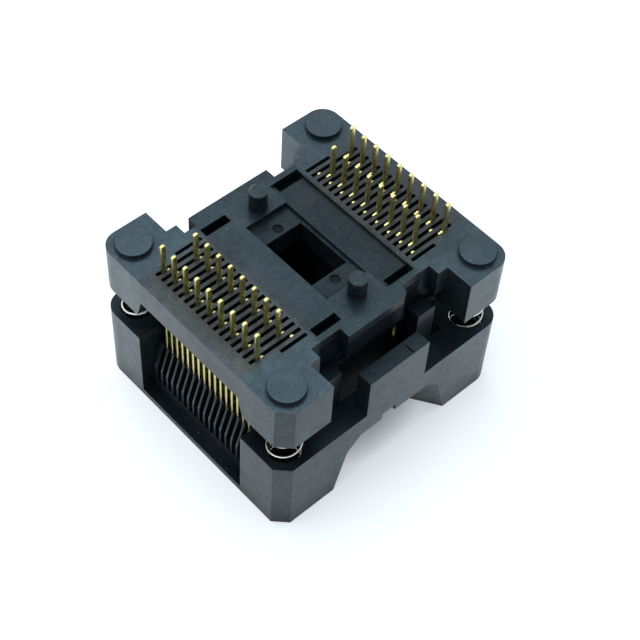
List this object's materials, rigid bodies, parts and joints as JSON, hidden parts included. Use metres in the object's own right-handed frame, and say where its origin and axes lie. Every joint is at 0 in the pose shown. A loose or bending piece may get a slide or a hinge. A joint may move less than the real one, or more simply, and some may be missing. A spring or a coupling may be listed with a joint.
{
  "type": "burn-in socket",
  "caption": "Open-top burn-in socket for a fine-pitch gull-wing package: spring-loaded cover with cam combs opens two rows of stamped contacts over staggered solder tails",
  "frame": {"origin": "middle of the actuating cover's press face, the lowest face as the socket lies in the picture", "axes": "+X across the two rows of contacts towards the right-hand row, +Y along the rows away from the end with the ejector slit, +Z from the cover's press face towards the solder tails"},
  "size_m": [0.023, 0.0212, 0.0174],
  "materials": {
    "base_plastic": "finely textured moulded plastic, blue-black",
    "cover_plastic": "finely textured moulded plastic, blue-black",
    "nest_plastic": "moulded plastic, charcoal",
    "contact_gold": "gold-plated stamped strip",
    "spring_steel": "bright drawn wire"
  },
  "bodies": {
    "base": {"base_housing": "base_plastic", "package_nest": "nest_plastic", "contact_left_01": "contact_gold", "contact_left_02": "contact_gold", "contact_left_03": "contact_gold", "contact_left_04": "contact_gold", "contact_left_05": "contact_gold", "contact_left_06": "contact_gold", "contact_left_07": "contact_gold", "contact_left_08": "contact_gold", "contact_left_09": "contact_gold", "contact_left_10": "contact_gold", "contact_left_11": "contact_gold", "contact_left_12": "contact_gold", "contact_left_13": "contact_gold", "contact_left_14": "contact_gold", "contact_left_15": "contact_gold", "contact_left_16": "contact_gold", "contact_left_17": "contact_gold", "contact_right_01": "contact_gold", "contact_right_02": "contact_gold", "contact_right_03": "contact_gold", "contact_right_04": "contact_gold", "contact_right_05": "contact_gold", "contact_right_06": "contact_gold", "contact_right_07": "contact_gold", "contact_right_08": "contact_gold", "contact_right_09": "contact_gold", "contact_right_10": "contact_gold", "contact_right_11": "contact_gold", "contact_right_12": "contact_gold", "contact_right_13": "contact_gold", "contact_right_14": "contact_gold", "contact_right_15": "contact_gold", "contact_right_16": "contact_gold", "contact_right_17": "contact_gold", "spring_front_left": "spring_steel", "spring_front_right": "spring_steel", "spring_back_left": "spring_steel", "spring_back_right": "spring_steel"},
    "cover": {"actuator_cover": "cover_plastic"},
    "arms_left": {"contact_arms_left": "contact_gold"},
    "arms_right": {"contact_arms_right": "contact_gold"}
  },
  "joints": [
    {"name": "cover_slide", "type": "slide", "parent": "base", "child": "cover", "axis": [0, 0, 1], "range_m": [0, 0.002], "stiffness_N_per_m": 1200, "springref_m": -0.003, "deforming": ["spring_front_left", "spring_front_right", "spring_back_left", "spring_back_right"]},
    {"name": "arms_left_hinge", "type": "hinge", "parent": "base", "child": "arms_left", "pos_m": [-0.0076, 0, 0.011], "axis": [0, 1, 0], "range_deg": [0, 5.7]},
    {"name": "arms_right_hinge", "type": "hinge", "parent": "base", "child": "arms_right", "pos_m": [0.0076, 0, 0.011], "axis": [0, -1, 0], "range_deg": [0, 5.7]}
  ],
  "couplings": [
    {"joint": "arms_left_hinge", "follows": "cover_slide", "rad_per_m": 49.7},
    {"joint": "arms_right_hinge", "follows": "cover_slide", "rad_per_m": 49.7}
  ]
}
